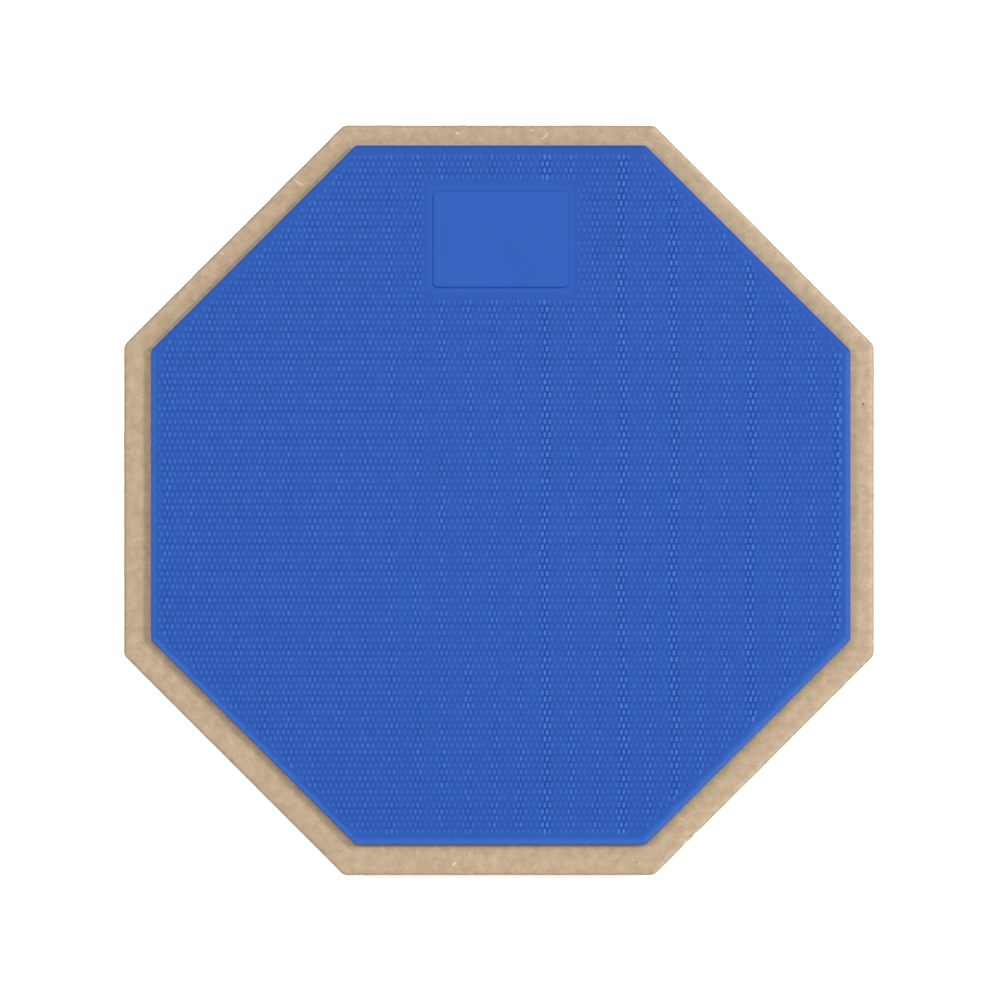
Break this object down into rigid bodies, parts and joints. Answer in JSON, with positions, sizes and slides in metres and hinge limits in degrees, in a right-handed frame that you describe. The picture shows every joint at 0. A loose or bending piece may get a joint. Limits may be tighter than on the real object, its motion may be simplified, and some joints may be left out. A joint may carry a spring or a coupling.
{
  "type": "drum practice pad",
  "caption": "Octagonal drum practice pad: a textured rubber playing sheet with a plain raised panel, glued to a fibreboard base with a non-slip foam backing.",
  "frame": {"origin": "centre of the underside, on the surface that the pad rests on", "axes": "+Z out of the playing face, +Y towards the edge that the raised name panel is near, +X to the player's right"},
  "size_m": [0.305, 0.305, 0.0247],
  "materials": {
    "blue_rubber": "satin",
    "contact_cement": "satin",
    "bare_fibreboard": "matte",
    "black_foam": "matte"
  },
  "bodies": {
    "root": {"playing_surface": "blue_rubber", "surface_adhesive": "contact_cement", "base_board": "bare_fibreboard", "backing_adhesive": "contact_cement", "non_slip_backing": "black_foam"}
  },
  "joints": []
}
